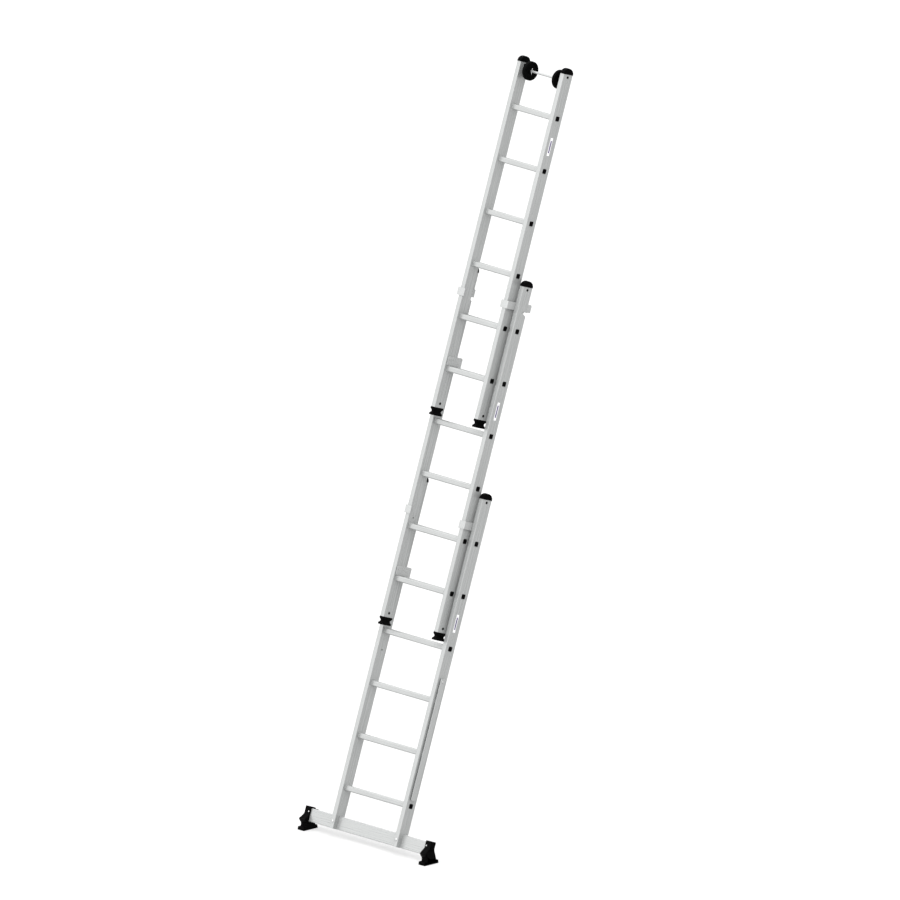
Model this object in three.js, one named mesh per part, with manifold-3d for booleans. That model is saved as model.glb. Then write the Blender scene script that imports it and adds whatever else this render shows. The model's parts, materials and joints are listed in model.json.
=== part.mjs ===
// A three-section aluminium extension ladder, extended and leaning as it stands against a wall.
// Millimetres. +X is the climber's right, +Y points towards the wall, +Z is up.
// Inside a section the axes are x across, n from the front face to the back, and u up the stiles,
// with n = 0 on the stiles' front face and u = 0 on the lowest rung's axis.

import * as THREE from 'three';
import { mergeVertices } from 'three/addons/utils/BufferGeometryUtils.js';
import Module from 'manifold-3d';

const wasm = await Module();
wasm.setup();

// ---- Driving dimensions ----

const LEAN = THREE.MathUtils.degToRad(19.36);
const GAP = 0.3; // left between pieces that touch

const RUNG_PITCH = 280;
const RUNG_COUNT = 6;
const EXTENDED_PITCHES = 4; // how far each section is pushed up from the one behind it
const SECTION_STEP = 50.7; // from one section's front face to the front face behind it
const OUTER_WIDTH = { bottom: 508, middle: 435, top: 353 };

const STILE = { width: 27, depth: 67, wall: 2, corner: 2, above: 236 };
const STILE_BELOW = { bottom: 222, middle: 209, top: 209 };
const RUNG = { size: 30, wall: 1.8, corner: 4, proud: 0.5 };
const RUNG_DEPTH = STILE.depth / 2; // the rungs run through the middle of the stiles

const CAP = { overhang: 2.5, skirt: 4, dome: 28, bevel: 2.5, tongue: 30 };
const FOOT = { height: 43, overhang: 1.5, toe: 3, back: 1, bevel: 1.5, tongue: 30 };
const FOOT_WAIST = { below: 20, depth: 8, round: 6, rim: 7, sideDepth: 5, sideRadius: 17 };

const GUIDE = { plate: 4, slack: 0.7, height: 41, tail: 58, corner: 3 };
const GUIDE_LIP = { bottom: 44, middle: 52 }; // reach towards the middle of the ladder
const GUIDE_RAISE = { bottom: 62, middle: 105 }; // lower edge above the top rung's axis
const HINGE_HOOK = { thickness: 5, reach: 26, low: 107, high: 150, strap: 4, corner: 9, heel: 3 };
const HINGE_NOTCH = { depth: 21, low: 84, knee: 95, high: 107 };

const RUNG_HOOK = { plate: 4.5, front: 8, top: 66, prong: 12, tip: -18, corner: 10, round: 4 };
const HOOK_PLAY = 0.8; // between a rung hook's prong and the rung's back

const TRAVERSE = { half: 465, front: 27, depth: 24, low: -222, high: -152, wall: 2.5, corner: 3 };
const BOLT = { shank: 4, head: 7, headHeight: 4, nut: 7.5, nutHeight: 6, threadEnd: 9 };
const TRAVERSE_BOLT_U = -184;

// The shoe rocks about a pin on the end of the traverse. Its holder ends in a drum around that pin.
const SHOE_PIVOT = { n: 39, u: -187 };
const DRUM_RADIUS = 44;
const HOLDER = { inner: 435, outer: 475.5, front: 20, back: 55, top: -144.5, corner: 3 };
const HOLDER_TAB = { inner: 412, low: -200, top: -150 }; // the holder's tongue along the traverse's back
const HOLDER_SLOPE = { front: -185, back: -190, kneeN: -5, kneeU: -217, heelN: 84, heelU: -228 };
const SHOE = { inner: 435, outer: 480, saddle: 45, knee: 53.3, hub: 14, front: -59, back: 41 };
const SHOE_ANGLES = { kneeInner: -167, kneeOuter: -165, waist: -135, heelInner: -57.5 };
const SHOE_HEEL = { y: 29, z: -53.5 };
const SHOE_BASE = { bottom: -69, edge: -65, slope: 3 };
const SOLE = { bottom: -75, lip: 2, groove: 2.5, lands: 9, endMargin: 4, margin: 1.2, slope: 0.4 };
const MOULDED_BEVEL = 1.2;

const ROLLER = { radius: 51, inner: 101.5, thickness: 20, depth: 45.5, raise: 200, hub: 17, web: 6 };
const ROLLER_RIM = { width: 9, slope: 1.5, round: 2.5 };
const AXLE = { radius: 6.5, end: 151.5 };

const STRUT = { inner: 259.5, plate: 4.5, n: 32, halfWidth: 16.5, corner: 6, low: 30, high: 681 };
const STRUT_PIVOT = { u: 666, boss: 10 };
const STRUT_SPACER_RUNGS = [1, 2]; // the spacers rest against the ends of these rungs

const COLOURS = {
  aluminium: [0xcfd2d1, 0.35, 0.9],
  plastic: [0x141414, 0.55, 0.0],
  rubber: [0x101010, 0.85, 0.0],
  steel: [0xdfe0df, 0.3, 1.0],
};

// ---- Outlines ----

const point = (x, y) => new THREE.Vector2(x, y);

function arc(x, y, radius, fromDegrees, toDegrees, steps, radiusY = radius) {
  const points = [];
  for (let i = 0; i <= steps; i += 1) {
    const angle = THREE.MathUtils.degToRad(fromDegrees + ((toDegrees - fromDegrees) * i) / steps);
    points.push(point(x + radius * Math.cos(angle), y + radiusY * Math.sin(angle)));
  }
  return points;
}

function roundedRect(x0, y0, x1, y1, radius, steps = 2) {
  return [
    ...arc(x1 - radius, y0 + radius, radius, -90, 0, steps),
    ...arc(x1 - radius, y1 - radius, radius, 0, 90, steps),
    ...arc(x0 + radius, y1 - radius, radius, 90, 180, steps),
    ...arc(x0 + radius, y0 + radius, radius, 180, 270, steps),
  ];
}

// Where the line from a through b leaves the circle around the centre.
function leaveCircle(a, b, centre, radius) {
  const along = b.clone().sub(a).normalize();
  const offset = a.clone().sub(centre);
  const middle = -offset.dot(along);
  const half = Math.sqrt(radius * radius - offset.lengthSq() + middle * middle);
  return a.clone().addScaledVector(along, middle + half);
}

const angleOf = (p, centre) =>
  THREE.MathUtils.radToDeg(Math.atan2(p.y - centre.y, p.x - centre.x));

// ---- Solids ----

// The outline pushed from low to high along z, with its edges broken by the bevel.
function extrude(outline, low, high, { holes = [], bevel = 0 } = {}) {
  const shape = new THREE.Shape(outline);
  shape.holes = holes.map((hole) => new THREE.Path(hole));
  const geometry = new THREE.ExtrudeGeometry(shape, {
    depth: high - low - 2 * bevel,
    bevelEnabled: bevel > 0,
    bevelThickness: bevel,
    bevelSize: bevel,
    bevelOffset: -bevel,
    bevelSegments: 2,
  });
  return geometry.translate(0, 0, low + bevel);
}

// The same for an outline in the n-u plane, pushed along x between two places on either side.
const SIDE_VIEW = new THREE.Matrix4().makeBasis(
  new THREE.Vector3(0, 1, 0),
  new THREE.Vector3(0, 0, 1),
  new THREE.Vector3(1, 0, 0),
);

function extrudeAcross(outline, xa, xb, options) {
  return extrude(outline, Math.min(xa, xb), Math.max(xa, xb), options).applyMatrix4(SIDE_VIEW);
}

function rodAcross(radius, xa, xb, n, u, sides = 16) {
  return extrudeAcross(arc(n, u, radius, 0, 360 - 360 / sides, sides - 1), xa, xb);
}

function rodBack(radius, x, u, n0, n1, sides = 16) {
  const outline = arc(0, 0, radius, 0, 360 - 360 / sides, sides - 1);
  return extrude(outline, n0, n1).rotateX(-Math.PI / 2).translate(x, 0, u);
}

function solid(geometry) {
  const bare = geometry.clone();
  bare.deleteAttribute('normal');
  bare.deleteAttribute('uv');
  const merged = mergeVertices(bare, 1e-4);
  return new wasm.Manifold(new wasm.Mesh({
    numProp: 3,
    vertProperties: new Float32Array(merged.attributes.position.array),
    triVerts: new Uint32Array(merged.index.array),
  }));
}

function combine(start, { add = [], cut = [] }) {
  let body = solid(start);
  for (const geometry of add) {
    body = body.add(solid(geometry));
  }
  for (const geometry of cut) {
    body = body.subtract(solid(geometry));
  }
  const { vertProperties, triVerts } = body.getMesh();
  const geometry = new THREE.BufferGeometry();
  geometry.setAttribute('position', new THREE.BufferAttribute(vertProperties, 3));
  geometry.setIndex(new THREE.BufferAttribute(triVerts, 1));
  return geometry;
}

function piece(name, geometry, look) {
  const [color, roughness, metalness] = COLOURS[look];
  const mesh = new THREE.Mesh(
    geometry,
    new THREE.MeshStandardMaterial({ color, roughness, metalness }),
  );
  mesh.name = name;
  return mesh;
}

// ---- Pieces of a section ----

const SIDES = { left: -1, right: 1 };
const TOP_RUNG = (RUNG_COUNT - 1) * RUNG_PITCH;
const STILE_TOP = TOP_RUNG + STILE.above;

function rungOutline(grow = 0, corner = RUNG.corner + grow, steps = 2) {
  const half = RUNG.size / 2 + grow;
  return roundedRect(RUNG_DEPTH - half, -half, RUNG_DEPTH + half, half, corner, steps);
}

function rung(width) {
  const end = width / 2 + RUNG.proud;
  return extrudeAcross(rungOutline(), -end, end, { holes: [rungOutline(-RUNG.wall)] });
}

function stile(section, side, cuts) {
  const outer = OUTER_WIDTH[section] / 2;
  const [x0, x1] = [side * outer, side * (outer - STILE.width)].sort((a, b) => a - b);
  const wall = STILE.wall;
  const tube = extrude(
    roundedRect(x0, 0, x1, STILE.depth, STILE.corner),
    -STILE_BELOW[section],
    STILE_TOP,
    { holes: [roundedRect(x0 + wall, wall, x1 - wall, STILE.depth - wall, 1)] },
  );
  const rungHoles = [];
  for (let i = 0; i < RUNG_COUNT; i += 1) {
    const hole = extrudeAcross(rungOutline(GAP, RUNG.corner / 2, 1), x0 - 1, x1 + 1);
    rungHoles.push(hole.translate(0, 0, i * RUNG_PITCH));
  }
  return combine(tube, { cut: [...rungHoles, ...cuts] });
}

function tongue(centre, low, high) {
  const halfX = STILE.width / 2 - STILE.wall - GAP;
  const edge = STILE.wall + GAP;
  const outline = roundedRect(centre - halfX, edge, centre + halfX, STILE.depth - edge, 1);
  return extrude(outline, low, high);
}

function cap(centre) {
  const half = STILE.width / 2 + CAP.overhang;
  const reach = STILE.depth / 2 + CAP.overhang;
  const base = STILE_TOP + GAP;
  const outline = [
    point(STILE.depth + CAP.overhang, base),
    ...arc(STILE.depth / 2, base + CAP.skirt, reach, 0, 180, 14, CAP.dome),
    point(-CAP.overhang, base),
  ];
  const dome = extrudeAcross(outline, centre - half, centre + half, { bevel: CAP.bevel });
  return combine(dome, { add: [tongue(centre, STILE_TOP - CAP.tongue, base + CAP.skirt)] });
}

function foot(centre, end) {
  const half = STILE.width / 2 + FOOT.overhang;
  const top = end - GAP;
  const bottom = end - FOOT.height;
  const back = STILE.depth + FOOT.back;
  const { below, depth, round, rim, sideDepth, sideRadius } = FOOT_WAIST;
  const waist = end - below;
  const outline = [
    point(-FOOT.overhang, top),
    point(-FOOT.overhang, top - rim),
    ...arc(depth - round, waist, round, 40, -40, 3),
    point(-FOOT.toe, bottom + rim),
    point(-FOOT.toe, bottom),
    point(back, bottom),
    point(back, bottom + rim),
    ...arc(back - depth + round, waist, round, 220, 140, 3),
    point(back, top - rim),
    point(back, top),
  ];
  const spool = extrudeAcross(outline, centre - half, centre + half, { bevel: FOOT.bevel });
  const offset = half + sideRadius - sideDepth;
  const grooves = Object.values(SIDES).map((side) =>
    rodBack(sideRadius, centre + side * offset, waist, -FOOT.toe - 1, back + 1, 24));
  return combine(spool, { add: [tongue(centre, top - rim, end + FOOT.tongue)], cut: grooves });
}

// A flat plate on the stile's inner face that reaches over the rung behind and holds it.
function rungHook(section, side) {
  const face = OUTER_WIDTH[section] / 2 - STILE.width - GAP;
  const seat = RUNG.size / 2 + GAP;
  const rungBack = RUNG_DEPTH + SECTION_STEP + RUNG.size / 2 + HOOK_PLAY;
  const back = rungBack + RUNG_HOOK.prong;
  const { front, top, tip, corner, round } = RUNG_HOOK;
  const outline = [
    ...arc(front + corner, top - corner, corner, 180, 90, 3),
    ...arc(back - corner, top - corner, corner, 90, 0, 3),
    ...arc(back - round, tip + round, round, 0, -90, 2),
    ...arc(rungBack + round, tip + round, round, -90, -180, 2),
    point(rungBack, seat),
    ...arc(front + round, seat + round, round, -90, -180, 2),
  ];
  return extrudeAcross(outline, side * face, side * (face - RUNG_HOOK.plate), { bevel: 0.6 });
}

// An angle fixed to the stile's inner face. It runs forward beside the next section and its lip
// crosses that section's stile, so the section in front slides between lip and rungs.
function guideOutline(section, side, backPoints) {
  const face = OUTER_WIDTH[section] / 2 - STILE.width - GAP;
  const lipBack = -SECTION_STEP - GUIDE.slack;
  const lipFront = lipBack - GUIDE.plate - GAP;
  const outline = [
    point(face - GUIDE_LIP[section], lipBack),
    point(face - GUIDE_LIP[section], lipFront),
    ...arc(face - GUIDE.corner, lipFront + GUIDE.corner, GUIDE.corner, -90, 0, 2),
    ...backPoints(face),
    point(face - GUIDE.plate, lipBack),
  ];
  return side > 0 ? outline : outline.map((p) => point(-p.x, p.y)).reverse();
}

function bottomGuide(side) {
  const outline = guideOutline('bottom', side, (face) => [
    point(face, GUIDE.tail),
    point(face - GUIDE.plate, GUIDE.tail),
  ]);
  const low = TOP_RUNG + GUIDE_RAISE.bottom;
  return extrude(outline, low, low + GUIDE.height);
}

// The middle section's guide also wraps the stile's back and ends in the stepladder hinge hook.
function middleGuide(side) {
  const outer = OUTER_WIDTH.middle / 2;
  const strapFront = STILE.depth + GAP;
  const strapBack = strapFront + HINGE_HOOK.strap;
  const outline = guideOutline('middle', side, (face) => [
    point(face, strapFront),
    point(outer, strapFront),
    point(outer, strapBack),
    point(face - GUIDE.plate, strapBack),
  ]);
  const low = TOP_RUNG + GUIDE_RAISE.middle;
  const hookLow = TOP_RUNG + HINGE_HOOK.low;
  const hookHigh = TOP_RUNG + HINGE_HOOK.high;
  const hookBack = strapFront + HINGE_HOOK.reach;
  const { corner, heel } = HINGE_HOOK;
  const hook = extrudeAcross(
    [
      point(strapFront, hookLow),
      ...arc(hookBack - heel, hookLow + heel, heel, -90, 0, 2),
      ...arc(hookBack - corner, hookHigh - corner, corner, 0, 90, 3),
      point(strapFront, hookHigh),
    ],
    side * outer,
    side * (outer - HINGE_HOOK.thickness),
  );
  return combine(extrude(outline, low, low + GUIDE.height), { add: [hook] });
}

function hingeNotch(side) {
  const outer = OUTER_WIDTH.middle / 2;
  const outline = [
    point(STILE.depth + 1, TOP_RUNG + HINGE_NOTCH.low),
    point(STILE.depth + 1, TOP_RUNG + HINGE_NOTCH.high),
    point(STILE.depth - HINGE_NOTCH.depth, TOP_RUNG + HINGE_NOTCH.high),
    point(STILE.depth - HINGE_NOTCH.depth, TOP_RUNG + HINGE_NOTCH.knee),
  ];
  return extrudeAcross(outline, side * (outer + 1), side * (outer - STILE.width - 1));
}

// Stiles, rungs and end caps, which every section has.
function sectionFrame(section, cutsFor = () => []) {
  const group = new THREE.Group();
  for (const [word, side] of Object.entries(SIDES)) {
    const centre = side * (OUTER_WIDTH[section] / 2 - STILE.width / 2);
    group.add(piece(`${section}_stile_${word}`, stile(section, side, cutsFor(side)), 'aluminium'));
    group.add(piece(`${section}_cap_${word}`, cap(centre), 'plastic'));
  }
  for (let i = 0; i < RUNG_COUNT; i += 1) {
    const step = piece(`${section}_rung_${i + 1}`, rung(OUTER_WIDTH[section]), 'aluminium');
    step.position.z = i * RUNG_PITCH;
    group.add(step);
  }
  return group;
}

function addFeetAndHooks(group, section) {
  for (const [word, side] of Object.entries(SIDES)) {
    const centre = side * (OUTER_WIDTH[section] / 2 - STILE.width / 2);
    const end = -STILE_BELOW[section];
    group.add(piece(`${section}_foot_${word}`, foot(centre, end), 'plastic'));
    group.add(piece(`${section}_rung_hook_${word}`, rungHook(section, side), 'aluminium'));
  }
}

// ---- The traverse and its shoes ----

const TRAVERSE_BACK = TRAVERSE.front + TRAVERSE.depth;
const BOLT_X = OUTER_WIDTH.bottom / 2 - STILE.width / 2;

function traverse() {
  const { front, low, high, wall, corner, half } = TRAVERSE;
  const inner = roundedRect(front + wall, low + wall, TRAVERSE_BACK - wall, high - wall, 1);
  const tube = extrudeAcross(
    roundedRect(front, low, TRAVERSE_BACK, high, corner), -half, half, { holes: [inner] },
  );
  const holes = Object.values(SIDES).map((side) =>
    rodBack(BOLT.shank + GAP, side * BOLT_X, TRAVERSE_BOLT_U, front - 1, TRAVERSE_BACK + 1));
  return combine(tube, { cut: holes });
}

function traverseBolt(side) {
  const x = side * BOLT_X;
  const shank = rodBack(BOLT.shank, x, TRAVERSE_BOLT_U, -GAP - 1, TRAVERSE_BACK + BOLT.threadEnd);
  const head = rodBack(BOLT.head, x, TRAVERSE_BOLT_U, -GAP - BOLT.headHeight, -GAP);
  const back = TRAVERSE_BACK + GAP;
  const nut = rodBack(BOLT.nut, x, TRAVERSE_BOLT_U, back, back + BOLT.nutHeight, 6);
  return combine(shank, { add: [head, nut] });
}

// The bottom stiles are cut away at the back for the traverse and drilled for the bolts.
function bottomCuts(side) {
  const outer = OUTER_WIDTH.bottom / 2;
  const low = -STILE_BELOW.bottom - 1;
  const seat = roundedRect(TRAVERSE.front - GAP, low, STILE.depth + 1, TRAVERSE.high + GAP, 0.5);
  return [
    extrudeAcross(seat, side * (outer + 1), side * (outer - STILE.width - 1)),
    rodBack(BOLT.shank + GAP, side * BOLT_X, TRAVERSE_BOLT_U, -1, STILE.wall + 1),
    rodAcross(BOLT.shank + GAP, side * (outer - STILE.wall - 1), side * (outer + 1),
      STRUT.n, STRUT_PIVOT.u),
  ];
}

const PIVOT = point(SHOE_PIVOT.n, SHOE_PIVOT.u);

function shoeHolder(side) {
  const frontTop = point(HOLDER.front, HOLDER_SLOPE.front);
  const backTop = point(HOLDER.back, HOLDER_SLOPE.back);
  const knee = point(HOLDER_SLOPE.kneeN, HOLDER_SLOPE.kneeU);
  const heel = point(HOLDER_SLOPE.heelN, HOLDER_SLOPE.heelU);
  const kneeAngle = angleOf(leaveCircle(frontTop, knee, PIVOT, DRUM_RADIUS), PIVOT);
  const heelAngle = angleOf(leaveCircle(backTop, heel, PIVOT, DRUM_RADIUS), PIVOT);
  const { inner, outer, front, back, top, corner } = HOLDER;
  const outline = [
    frontTop,
    ...arc(front + corner, top - corner, corner, 180, 90, 2),
    ...arc(back - corner, top - corner, corner, 90, 0, 2),
    backTop,
    ...arc(PIVOT.x, PIVOT.y, DRUM_RADIUS, heelAngle, kneeAngle, 16),
  ];
  const block = extrudeAcross(outline, side * inner, side * outer, { bevel: MOULDED_BEVEL });
  const tab = extrudeAcross(
    roundedRect(TRAVERSE_BACK + GAP, HOLDER_TAB.low, back, HOLDER_TAB.top, 1, 1),
    side * HOLDER_TAB.inner,
    side * (inner + corner),
  );
  const socket = extrudeAcross(
    roundedRect(TRAVERSE.front - GAP, TRAVERSE.low - GAP, TRAVERSE_BACK + GAP,
      TRAVERSE.high + GAP, TRAVERSE.corner + GAP),
    side * (HOLDER_TAB.inner - 1),
    side * (TRAVERSE.half + GAP),
  );
  const pinHole = rodAcross(BOLT.shank + GAP, side * TRAVERSE.half, side * (outer + 1),
    PIVOT.x, PIVOT.y);
  return combine(block, { add: [tab], cut: [socket, pinHole] });
}

function shoePin(side) {
  const shank = rodAcross(BOLT.shank, side * (TRAVERSE.half + 1), side * (SHOE.outer + 1), 0, 0);
  const headFoot = side * (SHOE.outer + GAP);
  const head = rodAcross(BOLT.head, headFoot, headFoot + side * BOLT.headHeight, 0, 0);
  return combine(shank, { add: [head] });
}

// The shoe and its sole are drawn level, with the pivot at the origin: y back and z up.
function shoe(side) {
  const { kneeInner, kneeOuter, waist, heelInner } = SHOE_ANGLES;
  const { bottom: base, edge, slope } = SHOE_BASE;
  const under = [
    ...arc(0, 0, SHOE.knee, kneeOuter, waist, 5),
    point(SHOE.front + slope, edge + slope),
    point(SHOE.front, edge),
    point(SHOE.front, base),
    point(SHOE.back, base),
    point(SHOE.back, edge),
    point(SHOE_HEEL.y, SHOE_HEEL.z),
  ];
  const saddle = extrudeAcross(
    [...under, ...arc(0, 0, SHOE.saddle, heelInner, kneeInner, 18)],
    side * SHOE.inner,
    side * SHOE.outer,
    { bevel: MOULDED_BEVEL },
  );
  const cheek = extrudeAcross(
    [...under, ...arc(0, 0, SHOE.hub, -20, 160, 10)],
    side * (HOLDER.outer + GAP),
    side * SHOE.outer,
    { bevel: MOULDED_BEVEL },
  );
  const pinHole = rodAcross(BOLT.shank + GAP, side * HOLDER.outer, side * (SHOE.outer + 1), 0, 0);
  return combine(saddle, { add: [cheek], cut: [pinHole] });
}

function sole(side) {
  const top = SHOE_BASE.bottom - GAP;
  const pitch = (SHOE.back - SHOE.front) / SOLE.lands;
  const { bottom: ground, lip, groove, lands, endMargin, margin, slope } = SOLE;
  const outline = [point(SHOE.back, top), point(SHOE.front, top), point(SHOE.front, top - lip)];
  for (let i = 0; i < lands; i += 1) {
    const start = SHOE.front + i * pitch;
    const lead = i === 0 ? endMargin : margin;
    const trail = i === lands - 1 ? endMargin : margin;
    if (i > 0) {
      outline.push(point(start + margin - slope, ground + groove));
    }
    outline.push(point(start + lead, ground));
    outline.push(point(start + pitch - trail, ground));
    if (i < lands - 1) {
      outline.push(point(start + pitch - margin + slope, ground + groove));
    }
  }
  outline.push(point(SHOE.back, top - lip));
  return extrudeAcross(outline, side * (SHOE.inner - 1), side * (SHOE.outer + 1));
}

// ---- The stabilising strut on the outside of each bottom stile ----

function strut(side) {
  const { n, low, high, halfWidth, corner, inner, plate } = STRUT;
  const outline = roundedRect(n - halfWidth, low, n + halfWidth, high, corner, 4);
  const bar = extrudeAcross(outline, side * inner, side * (inner + plate), { bevel: 1 });
  const face = OUTER_WIDTH.bottom / 2;
  const { u, boss } = STRUT_PIVOT;
  const pivotBoss = rodAcross(boss, side * (face + GAP), side * (inner + 1), n, u);
  const spacers = STRUT_SPACER_RUNGS.map((rungs) => extrudeAcross(
    rungOutline(-1), side * (face + RUNG.proud + GAP), side * (inner + 1),
  ).translate(0, 0, rungs * RUNG_PITCH));
  const hole = rodAcross(BOLT.shank + GAP, side * face, side * (inner + plate + 1), n, u);
  return combine(bar, { add: [pivotBoss, ...spacers], cut: [hole] });
}

function strutBolt(side) {
  const { n, inner, plate } = STRUT;
  const { u } = STRUT_PIVOT;
  const start = side * (OUTER_WIDTH.bottom / 2 - STILE.wall - BOLT.nutHeight);
  const headFoot = side * (inner + plate + GAP);
  const shank = rodAcross(BOLT.shank, start, headFoot + side, n, u);
  const head = rodAcross(BOLT.head, headFoot, headFoot + side * BOLT.headHeight, n, u);
  return combine(shank, { add: [head] });
}

// ---- Wall rollers at the top ----

function roller(side) {
  const { radius, inner, thickness, hub, web, depth, raise } = ROLLER;
  const bore = AXLE.radius + GAP;
  const { width, slope, round } = ROLLER_RIM;
  const rim = radius - width;
  const profile = [
    point(bore, 0),
    point(hub, 0),
    point(hub + slope, web),
    point(rim - slope, web),
    point(rim, 0),
    point(radius - round, 0),
    point(radius, round),
    point(radius, thickness - round),
    point(radius - round, thickness),
    point(rim, thickness),
    point(rim - slope, thickness - web),
    point(hub + slope, thickness - web),
    point(hub, thickness),
    point(bore, thickness),
    point(bore, 0),
  ];
  const wheel = new THREE.LatheGeometry(profile, 32).rotateZ(-Math.PI / 2);
  const start = side > 0 ? inner : -inner - thickness;
  return combine(wheel.translate(start, depth, TOP_RUNG + raise), {});
}

function axleHole(side) {
  const inner = OUTER_WIDTH.top / 2 - STILE.width;
  return rodAcross(AXLE.radius + GAP, side * (inner - 1), side * (inner + STILE.wall + 1),
    ROLLER.depth, TOP_RUNG + ROLLER.raise);
}

// ---- Assembly ----

const bottom = sectionFrame('bottom', bottomCuts);
bottom.add(piece('traverse', traverse(), 'aluminium'));
for (const [word, side] of Object.entries(SIDES)) {
  bottom.add(piece(`bottom_guide_${word}`, bottomGuide(side), 'aluminium'));
  bottom.add(piece(`traverse_bolt_${word}`, traverseBolt(side), 'steel'));
  bottom.add(piece(`shoe_holder_${word}`, shoeHolder(side), 'plastic'));
  bottom.add(piece(`strut_${word}`, strut(side), 'aluminium'));
  bottom.add(piece(`strut_bolt_${word}`, strutBolt(side), 'steel'));

  const level = new THREE.Group();
  level.position.set(0, SHOE_PIVOT.n, SHOE_PIVOT.u);
  level.rotation.x = LEAN;
  level.add(piece(`shoe_pin_${word}`, shoePin(side), 'steel'));
  level.add(piece(`shoe_${word}`, shoe(side), 'plastic'));
  level.add(piece(`shoe_sole_${word}`, sole(side), 'rubber'));
  bottom.add(level);
}

const middle = sectionFrame('middle', (side) => [hingeNotch(side)]);
addFeetAndHooks(middle, 'middle');
for (const [word, side] of Object.entries(SIDES)) {
  middle.add(piece(`middle_guide_${word}`, middleGuide(side), 'aluminium'));
}

const top = sectionFrame('top', (side) => [axleHole(side)]);
addFeetAndHooks(top, 'top');
const axle = rodAcross(AXLE.radius, -AXLE.end, AXLE.end, ROLLER.depth, TOP_RUNG + ROLLER.raise, 20);
top.add(piece('roller_axle', axle, 'aluminium'));
for (const [word, side] of Object.entries(SIDES)) {
  top.add(piece(`roller_${word}`, roller(side), 'plastic'));
}

const extension = EXTENDED_PITCHES * RUNG_PITCH;
middle.position.set(0, -SECTION_STEP, extension);
top.position.set(0, -2 * SECTION_STEP, 2 * extension);

const leaning = new THREE.Group();
leaning.rotation.x = -LEAN;
leaning.add(bottom, middle, top);

// The origin is on the floor, below the middle of the ladder's overall box.
const ladder = new THREE.Group();
ladder.add(leaning);
ladder.updateMatrixWorld(true);
const box = new THREE.Box3().setFromObject(leaning, true);
leaning.position.set(0, -(box.min.y + box.max.y) / 2, -box.min.z);

export default ladder;
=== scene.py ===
import json
import math
from functools import partial

import bmesh
import bpy
from mathutils import Matrix, Vector


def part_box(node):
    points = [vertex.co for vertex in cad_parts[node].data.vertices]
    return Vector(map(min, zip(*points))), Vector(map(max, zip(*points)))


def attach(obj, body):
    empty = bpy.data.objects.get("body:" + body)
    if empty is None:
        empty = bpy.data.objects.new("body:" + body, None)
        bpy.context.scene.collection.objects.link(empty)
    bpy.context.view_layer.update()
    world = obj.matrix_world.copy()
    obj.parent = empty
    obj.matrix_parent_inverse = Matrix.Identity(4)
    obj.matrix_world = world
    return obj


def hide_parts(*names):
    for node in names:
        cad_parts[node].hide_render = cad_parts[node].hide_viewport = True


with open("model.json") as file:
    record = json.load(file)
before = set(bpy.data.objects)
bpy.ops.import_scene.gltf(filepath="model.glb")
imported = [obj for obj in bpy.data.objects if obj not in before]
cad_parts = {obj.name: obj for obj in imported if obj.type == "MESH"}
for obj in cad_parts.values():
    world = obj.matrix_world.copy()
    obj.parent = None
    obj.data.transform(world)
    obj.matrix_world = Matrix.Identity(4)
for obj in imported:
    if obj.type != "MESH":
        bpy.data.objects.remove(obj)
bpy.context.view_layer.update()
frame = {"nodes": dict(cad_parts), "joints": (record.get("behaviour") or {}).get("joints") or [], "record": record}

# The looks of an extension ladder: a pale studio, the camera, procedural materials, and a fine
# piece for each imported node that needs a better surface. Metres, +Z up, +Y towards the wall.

MM = 0.001
GAP = 0.3 * MM  # between pieces that fit together

# ---- The ladder's own axes: x across, n to the back, u up the stiles ----

JOINTS = {joint["name"]: joint for joint in frame["joints"]}
UP = Vector(JOINTS["middle_slide"]["axis"]).normalized()
ACROSS = Vector((1, 0, 0))
BACK = UP.cross(ACROSS)
LEAN = math.atan2(UP.y, UP.z)
SIDES = {"left": -1, "right": 1}

STILE_WIDTH = 27 * MM
STILE_DEPTH = 67 * MM
RUNG_SIZE = 30 * MM
RUNG_COUNT = 6
PLUG_PROUD = 1.2 * MM
RUNG_N = STILE_DEPTH / 2


def centre_of(node):
    low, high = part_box(node)
    return (low + high) / 2


class Section:
    """One ladder section. Its origin is on the lowest rung's axis, at the stiles' front face."""

    def __init__(self, name):
        self.name = name
        self.body = f"{name}_section"
        self.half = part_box(f"{name}_stile_right")[1].x
        first = centre_of(f"{name}_rung_1")
        last = centre_of(f"{name}_rung_{RUNG_COUNT}")
        self.pitch = (last - first).length / (RUNG_COUNT - 1)
        origin = first - BACK * RUNG_N
        turn = Matrix((ACROSS, BACK, UP)).transposed().to_4x4()
        self.matrix = Matrix.Translation(origin) @ turn
        self.inverse = self.matrix.inverted()

    def extent(self, node):
        """The node's lowest and highest corners in the section's own axes."""
        places = [self.inverse @ vertex.co for vertex in frame["nodes"][node].data.vertices]
        low = Vector([min(place[i] for place in places) for i in range(3)])
        high = Vector([max(place[i] for place in places) for i in range(3)])
        return low, high


BOTTOM = Section("bottom")
MIDDLE = Section("middle")
TOP = Section("top")
SECTIONS = (BOTTOM, MIDDLE, TOP)

RECORD = frame["record"]
BODY_OF = {node: body for body, nodes in RECORD["behaviour"]["bodies"].items() for node in nodes}
SLOT_OF = {part["node"]: part["material_slot"] for part in RECORD["subparts"]}

# ---- Camera, floor and light ----

VIEW_AZIMUTH = math.radians(46.91)
VIEW_ELEVATION = math.radians(15.81)
VIEW_HEIGHT = 4.6596
VIEW_DISTANCE = 9.0
# How far the middle of the view lies from the right-hand end of the lowest rung.
VIEW_RIGHT_OF_RUNG = 0.2018
VIEW_ABOVE_RUNG = 1.8457


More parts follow.
